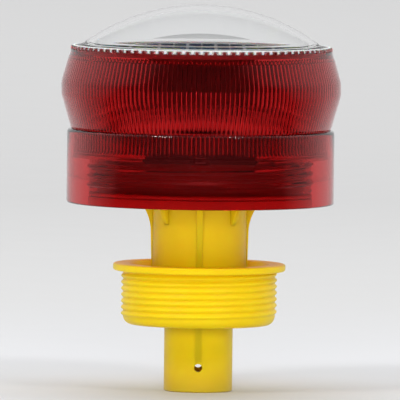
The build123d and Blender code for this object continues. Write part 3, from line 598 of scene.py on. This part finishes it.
def gusset(angle_deg, length):
    """Outline of one curved rib, given a thickness and rounded edges, turned to its place."""
    bm = bmesh.new()
    drops = [(17.6, 0.0), (23.2, 0.0), (22.6, 0.8), (21.6, 2.2), (20.7, 3.9), (19.9, 5.8), (19.3, 8.0)]
    drops += [(18.95, 10.0)]
    drops = [(r, down) for r, down in drops if down < length / MM - 0.5]
    drops += [(18.55 if length == RIB_LONG else 18.05, length / MM), (17.6, length / MM)]
    verts = [bm.verts.new((r * MM, -RIB_W / 2, PLUG_Z - down * MM)) for r, down in drops]
    face = bm.faces.new(verts)
    grown = bmesh.ops.extrude_face_region(bm, geom=[face])["geom"]
    far_side = [g for g in grown if isinstance(g, bmesh.types.BMVert)]
    bmesh.ops.translate(bm, verts=far_side, vec=(0, RIB_W, 0))
    bmesh.ops.recalc_face_normals(bm, faces=bm.faces)
    bmesh.ops.bevel(
        bm, geom=[e for e in bm.edges if e.calc_face_angle(0) > 0.9], offset=RIB_ROUND, offset_type="OFFSET",
        segments=2, profile=0.5, affect="EDGES", material=-1,
    )
    turn = Matrix.Rotation(math.radians(angle_deg), 3, "Z")
    bmesh.ops.rotate(bm, verts=bm.verts, cent=(0, 0, 0), matrix=turn)
    return bm


def join_into(bm, other):
    """Add another bmesh's faces to bm, and free it."""
    mesh = bpy.data.meshes.new("part")
    other.to_mesh(mesh)
    other.free()
    bm.from_mesh(mesh)
    bpy.data.meshes.remove(mesh)


def make_stem():
    """Yellow stem: drilled tube, eight ribs under its flange, and two raised strips."""
    top = STEM_TOP
    outline = [(STEM_BORE, 0.4 * MM), (STEM_BORE + 0.4 * MM, 0), (STEM_R - 0.4 * MM, 0), (STEM_R, 0.4 * MM)]
    outline += [(STEM_R, SHOULDER_Z), (UPPER_R, SHOULDER_Z), (UPPER_R, PLUG_Z - 0.6 * MM)]
    outline += arc(UPPER_R + 0.6 * MM, PLUG_Z - 0.6 * MM, 0.6 * MM, 180, 90, 3)[1:]
    outline += [(STEM_FLANGE_R, PLUG_Z), (STEM_FLANGE_R, top), (UPPER_BORE, top)]
    outline += [(UPPER_BORE, SHOULDER_Z + SHOULDER_T), (STEM_BORE, SHOULDER_Z + SHOULDER_T)]
    bm = drilled(spun(outline, STEM_STEPS), PIN_HOLE_R, PIN_HOLE_Z)
    for i in range(8):
        join_into(bm, gusset(45 * i, RIB_LONG if i % 2 == 0 else RIB_SHORT))
    strip_foot, strip_top = PIN_HOLE_Z + 2.6 * MM, COLLAR_Z - 1.0 * MM
    for side in (-1, 1):
        strip = bmesh.new()
        bmesh.ops.create_cube(strip, size=1.0)
        bmesh.ops.scale(strip, vec=(STRIP_W, STRIP_T, strip_top - strip_foot), verts=strip.verts)
        place = (0, side * (STEM_R - STRIP_SUNK), (strip_top + strip_foot) / 2)
        bmesh.ops.translate(strip, vec=place, verts=strip.verts)
        join_into(bm, strip)
    return piece("stem_post", bm, "base", MATERIALS["yellow_plastic"], ("stem",), 35)


def loose_object(name, bm):
    """A bmesh as a mesh object that is only used to work on another piece."""
    mesh = bpy.data.meshes.new(name)
    bm.to_mesh(mesh)
    bm.free()
    made = bpy.data.objects.new(name, mesh)
    bpy.context.scene.collection.objects.link(made)
    return made


def drilled(bm, radius, height):
    """Cut a round hole along Y through a closed shape."""
    drill = bmesh.new()
    bmesh.ops.create_cone(drill, cap_ends=True, segments=40, radius1=radius, radius2=radius, depth=60 * MM)
    lay_down = Matrix.Rotation(math.radians(90), 3, "X")
    bmesh.ops.rotate(drill, verts=drill.verts, cent=(0, 0, 0), matrix=lay_down)
    bmesh.ops.translate(drill, verts=drill.verts, vec=(0, 0, height))
    bmesh.ops.recalc_face_normals(bm, faces=bm.faces)
    target, cutter = loose_object("blank", bm), loose_object("drill", drill)
    cut = target.modifiers.new("hole", "BOOLEAN")
    cut.operation = "DIFFERENCE"
    cut.solver = "EXACT"
    cut.object = cutter
    result = bpy.data.meshes.new_from_object(target.evaluated_get(bpy.context.evaluated_depsgraph_get()))
    cut_bm = bmesh.new()
    cut_bm.from_mesh(result)
    for made in (target, cutter):
        bpy.data.objects.remove(made)
    bpy.data.meshes.remove(result)
    return cut_bm


make_fluted_lens()
make_red_ring()
make_dome()
make_dome_teeth()
make_threaded_collar()
make_stem()


# ---- floor, light and camera ----
def pale_floor():
    """Pale tabletop with painted light and shade: a darker, warmer ring round the light's foot as painted
    shadow and yellow bounce light, then painted bands that change a little with distance.
    """
    n = Nodes("pale_floor")
    distance = n.add("VectorMath", set_operation="LENGTH")
    n.link(n.coords.outputs["Object"], distance.inputs[0])
    spread = n.add("MapRange", From_Min=0.0, From_Max=6.0)
    n.link(distance.outputs["Value"], spread.inputs["Value"])
    # Painted shadow and bounce light: darker and warmer within a few centimetres of the foot; painted light
    # and shade: lighter and darker bands further out.
    colour = n.ramp(spread.outputs["Result"], [
        (0.004, (0.58, 0.58, 0.555)), (0.015, (0.645, 0.655, 0.66)), (0.030, (0.665, 0.67, 0.685)),
        (0.09, (0.635, 0.635, 0.635)), (0.223, (0.58, 0.58, 0.58)), (0.413, (0.615, 0.615, 0.615)),
        (0.8, (0.68, 0.68, 0.68)),
    ])
    n.link(colour, n.shader.inputs["Base Color"])
    n.link(n.between(n.noise(30.0, 3.0), 0.55, 0.7), n.shader.inputs["Roughness"])
    n.set(Specular_IOR_Level=0.1)
    return n.material


def make_floor():
    bm = bmesh.new()
    bmesh.ops.create_circle(bm, cap_ends=True, segments=96, radius=9.0)
    mesh = bpy.data.meshes.new("floor")
    bm.to_mesh(mesh)
    bm.free()
    mesh.materials.append(pale_floor())
    floor = bpy.data.objects.new("floor", mesh)
    floor.visible_glossy = False
    bpy.context.scene.collection.objects.link(floor)


def area_light(name, place, aim, size, power, mirrored=True):
    data = bpy.data.lights.new(name, "AREA")
    data.shape = "RECTANGLE"
    data.size, data.size_y = size
    data.energy = power
    made = bpy.data.objects.new(name, data)
    made.location = place
    made.rotation_euler = (Vector(aim) - Vector(place)).to_track_quat("-Z", "Y").to_euler()
    made.visible_glossy = mirrored
    made.visible_transmission = mirrored
    bpy.context.scene.collection.objects.link(made)
    return made


def make_world():
    """Soft pale surroundings, darker low behind the viewer so that polished faces stay deep."""
    world = bpy.data.worlds.new("studio")
    world.use_nodes = True
    bpy.context.scene.world = world
    tree = world.node_tree
    background = tree.nodes["Background"]
    coords = tree.nodes.new("ShaderNodeTexCoord")
    facing = tree.nodes.new("ShaderNodeVectorMath")
    facing.operation = "DOT_PRODUCT"
    facing.inputs[1].default_value = (0.0, 1.0, 0.75)
    tree.links.new(coords.outputs["Generated"], facing.inputs[0])
    spread = tree.nodes.new("ShaderNodeMapRange")
    spread.inputs["From Min"].default_value = -1.0
    spread.inputs["From Max"].default_value = 1.0
    tree.links.new(facing.outputs["Value"], spread.inputs["Value"])
    ramp = tree.nodes.new("ShaderNodeValToRGB")
    ramp.color_ramp.elements[0].position = 0.33
    ramp.color_ramp.elements[0].color = (0.015, 0.015, 0.015, 1)
    ramp.color_ramp.elements[1].position = 0.75
    ramp.color_ramp.elements[1].color = (0.74, 0.74, 0.745, 1)
    tree.links.new(spread.outputs["Result"], ramp.inputs["Fac"])
    tree.links.new(ramp.outputs["Color"], background.inputs["Color"])
    background.inputs["Strength"].default_value = 1.0


def make_camera():
    distance = 3.9
    height = 0.290
    view_width = 0.1548
    roll_deg = 0.66
    aim = Vector((0.0, 0, 0.0738))
    place = Vector((0.0, -math.sqrt(distance ** 2 - height ** 2), height))
    data = bpy.data.cameras.new("camera")
    data.sensor_width = 36.0
    data.lens = data.sensor_width * distance / view_width
    data.clip_end = 60.0
    made = bpy.data.objects.new("camera", data)
    roll = Matrix.Rotation(math.radians(roll_deg), 4, "Z")
    turn = (aim - place).to_track_quat("-Z", "Y").to_matrix().to_4x4()
    made.matrix_world = Matrix.Translation(place) @ turn @ roll
    bpy.context.scene.collection.objects.link(made)
    bpy.context.scene.camera = made


make_floor()
make_world()
area_light("key_left", (-1.9, -2.2, 3.0), (0, 0, 0.1), (0.9, 0.9), 48)
area_light("key_right", (1.7, -2.4, 2.9), (0, 0, 0.1), (0.8, 0.8), 37)
area_light("front_fill", (0, -3.4, 0.6), (0, 0, 0.06), (1.6, 1.0), 58, mirrored=False)
area_light("overhead", (0, 2.6, 3.6), (0, 2.2, 0), (6.0, 6.0), 110, mirrored=False)
make_camera()
bpy.context.scene.view_settings.view_transform = "Standard"
